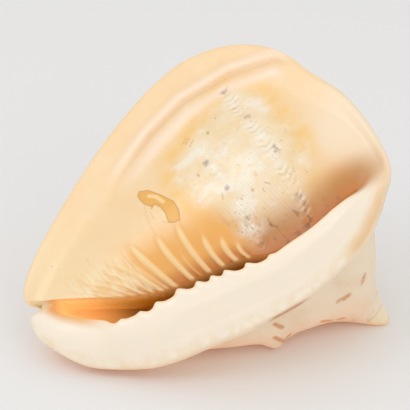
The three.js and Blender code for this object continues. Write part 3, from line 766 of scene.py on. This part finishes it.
# Dark brown blotches where the bulge runs in under the lip.
blotch = both(between(cloud(6, 3, (1, 1.6, 1)), 0.58, 0.66), near_mouth)
blotch = both(blotch, between(axes[1], 112, 124))
blotch = both(blotch, between(axes[1], 152, 166, 1, 0))
tint(both(blotch, 0.6), "8F5A30")
# Small brown flecks, mostly on the side towards the mouth.
fleck_cloud = cloud(2.6, 1)
fleck = both(between(fleck_cloud, 0.66, 0.72), value_out["bulge"])
tint(both(fleck, between(axes[0], -10, 60, 0.2, 1), 0.35), "BC8858")
# The chip through the glaze to the ochre layer, with its dark edge and a painted highlight inside, and fine
# cracks.
chip_mask = between(laid_on(crumb, 0.8, value_out["chip"]), 0.3, 0.8)
tint(chip_mask, "EDB45A")
tint(both(chip_mask, between(value_out["chip"], 0.2, 1.6, 1, 0), 0.5), "D49A48")
# Painted highlight: a pale streak of reflection across the chip.
tint(both(chip_mask, between(value_out["painted_chip_highlight"], 0.6, 1.8, 1, 0), 0.8), "FFDCA0")
tint(both(between(value_out["crack"], 0.15, 0.6, 1, 0), 0.3), "B98A5C")
# The lip is ivory, a touch warmer at the teeth and at the rolled rim.
lip_mask = between(value_out["shield"], 0.05, 0.75, 1, 0)
tint(lip_mask, "FAECD8")
tint(both(lip_mask, between(value_out["from_edge"], 0, 2.6, 1, 0), 0.55), "FBDDB0")
rim_warm = both(between(value_out["to_rim"], 0, 7, 1, 0), lip_mask)
tint(both(rim_warm, between(small_cloud, 0.35, 0.65), 0.45), "F0D2A8")
tint(both(rim_warm, between(axes[1], 150, 164), 0.8), "E9BE84")
# Past the mouth's edge the glaze turns orange, then painted shade darkens it to deep red-brown further in;
# all of it lighter at the canal.
inside = value_out["into_mouth"]
lip_side_mask = between(value_out["shield"], 0.4, 0.98, 1, 0)
canal_floor = both(between(value_out["from_edge"], 0, 7.5, 1, 0), between(axes[1], 14, 28, 1, 0))
tint(both(canal_floor, lip_side_mask, 0.95), "F3BA78")
tint(between(inside, 0.0, 3.0), "F7CC8A")
tint(both(between(inside, 2, 14), between(axes[1], 12, 55, 0.1, 1)), "D99F2C")
# Painted shade: deep red-brown growing with depth into the mouth.
tint(both(between(inside, 8, 34), between(axes[1], 30, 62, 0.05, 1)), "A04202")
# Outside: cream growth layers with brown marks, and painted shade under the rolled rim, darkest in the
# groove where it overhangs the flank.
tint(value_out["outside"], "EFDCC2")
tint(both(value_out["outside"], between(soft_cloud, 0.45, 0.7), 0.5), "E4C8A6")
back_blotch = both(between(cloud(11, 4, (1, 1.8, 1)), 0.56, 0.68),
                   between(value_out["behind_rim"], 70, 100))
tint(both(back_blotch, 0.4), "C59A6C")
# Painted shade under the rolled rim, and a darker painted shade in the groove behind it.
painted_rim_shade = both(between(value_out["behind_rim"], 4, 8), between(value_out["behind_rim"], 10, 17, 1, 0))
tint(both(painted_rim_shade, lip_mask, 0.6), "DDA873")
painted_rim_groove_shade = both(between(value_out["behind_rim"], 1, 4), between(value_out["behind_rim"], 7, 11, 1, 0))
painted_rim_groove_shade = both(painted_rim_groove_shade, lip_mask, between(axes[1], 94, 102))
tint(both(painted_rim_groove_shade, between(axes[1], 114, 126, 1, 0), 0.8), "B9743A")
tint(both(between(laid_on(crumb, 1.6, value_out["mark"]), 1.4, 3.2, 1, 0), 0.75),
     "C9803C")
tint(both(between(value_out["from_horn"], 13, 16, 1, 0), 0.6), "F3E4BC")
seam = both(between(value_out["from_horn"], 14, 15, 0, 1), between(value_out["from_horn"], 15, 16, 1, 0))
tint(both(seam, 0.35), "CFA878")

# Relief finer than the mesh, mm: cords 1.6 mm apart outside, bars and weave on the bulge, fine wrinkles.
cords = waves(both(axes[1], 2 * math.pi / 1.6))
height = both(cords, value_out["outside"], 0.05)
height = laid_on(both(bars, rope), 0.12, height)
weave_x = waves(both(axes[0], 2 * math.pi / 2.4))
weave_y = waves(both(axes[1], 2 * math.pi / 2.0))
weave = both(weave_x, weave_y, value_out["bulge"])
height = laid_on(weave, 0.03, height)
height = laid_on(cloud(14, 2), 0.35, height)
height = laid_on(chip_mask, -0.5, height)
height = laid_on(both(wrinkle, wrinkle_zone), 1.3, height)
relief = add_node(grain, "ShaderNodeBump", {"Strength": 0.8, "Distance": 0.001, "Height": height})
# Painted glow: emission stands in for the warm light that thin walls let through into the hollow and down
# onto the table.
painted_glow_inside = both(between(inside, 0.5, 8), between(axes[1], 16, 50, 0.3, 0.08))
glow = laid_on(value_out["glow_under"], 0.2, painted_glow_inside)
painted_glow_tint = add_node(grain, "ShaderNodeMix", {0: value_out["outside"], 6: shell_colour,
                                              7: colour("E0771E")},
                     data_type="RGBA")
surface = add_node(grain, "ShaderNodeBsdfPrincipled", {
    "Base Color": shell_colour,
    "Roughness": between(value_out["outside"], 0, 1, 0.24, 0.5),
    "IOR": 1.55,
    "Emission Color": painted_glow_tint.outputs[2],
    "Emission Strength": glow,
    "Subsurface Weight": 0.15,
    "Subsurface Radius": (1.0, 0.5, 0.25),
    "Subsurface Scale": 0.004,
    "Normal": relief.outputs[0],
})
add_node(grain, "ShaderNodeOutputMaterial", {0: surface.outputs[0]})
shell_mesh.materials.append(aragonite)

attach(shell, "root")
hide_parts("helmet_shell")

# ---------------------------------------------------------------- table
# A sheet of matt pale card under the shell, big enough to fill the view.
FLOOR_HALF = 4.0
floor_mesh = bpy.data.meshes.new("card_sheet")
floor_mesh.from_pydata([(-FLOOR_HALF, -FLOOR_HALF, 0), (FLOOR_HALF, -FLOOR_HALF, 0),
                        (FLOOR_HALF, FLOOR_HALF, 0), (-FLOOR_HALF, FLOOR_HALF, 0)], [], [(0, 1, 2, 3)])
floor = bpy.data.objects.new("card", floor_mesh)
bpy.context.scene.collection.objects.link(floor)
# Matt card: takes soft shadows and a little of the shell's warm light.
card = bpy.data.materials.new("matt card")
card.use_nodes = True
card_surface = card.node_tree.nodes["Principled BSDF"]
card_surface.inputs["Base Color"].default_value = colour("EDECEB")
card_surface.inputs["Roughness"].default_value = 0.8
floor_mesh.materials.append(card)

# ---------------------------------------------------------------- light
# Even white room light, a wide soft lamp high on the left and a weaker one on the right.
world = bpy.data.worlds.new("white room")
world.use_nodes = True
world.node_tree.nodes["Background"].inputs[0].default_value = (1.0, 1.0, 1.0, 1.0)
world.node_tree.nodes["Background"].inputs[1].default_value = 0.86
bpy.context.scene.world = world
middle = (cad_low + cad_high) / 2


def soft_lamp(name, position, size, watts):
    lamp = bpy.data.lights.new(name, "AREA")
    lamp.size = size
    lamp.energy = watts
    held = bpy.data.objects.new(name, lamp)
    held.location = position
    held.rotation_euler = (middle - Vector(position)).to_track_quat("-Z", "Y").to_euler()
    bpy.context.scene.collection.objects.link(held)


soft_lamp("left_softbox", (-0.9, -0.6, 1.2), 0.8, 2.8)
soft_lamp("right_softbox", (0.7, -1.3, 0.7), 0.8, 2.6)

# ---------------------------------------------------------------- camera
# Looks down on the mouth from in front, about a metre away.
AIM = np.array([19.5, 116.2, -7.2])
TO_CAMERA = np.array([0.460, -0.022, 0.887])
CAMERA_UP = np.array([-0.642, 0.682, 0.350])
CAMERA_AWAY = 1.0
VIEW_WIDTH = 0.246


def in_row(v):
    return Vector(v[0] * lip_side + v[1] * spire_way + v[2] * face_way)


aim = (in_row(AIM) + Vector(shift)) * 0.001
towards = in_row(unit(TO_CAMERA)).normalized()
upward = in_row(unit(CAMERA_UP))
rightward = upward.cross(towards).normalized()
upward = towards.cross(rightward)
camera = bpy.data.cameras.new("camera")
camera.sensor_width = 36
camera.lens = 36 * CAMERA_AWAY / VIEW_WIDTH
camera_object = bpy.data.objects.new("camera", camera)
turn = Matrix((rightward, upward, towards)).transposed().to_4x4()
camera_object.matrix_world = Matrix.Translation(aim + towards * CAMERA_AWAY) @ turn
bpy.context.scene.collection.objects.link(camera_object)
bpy.context.scene.camera = camera_object
bpy.context.scene.view_settings.view_transform = "Standard"
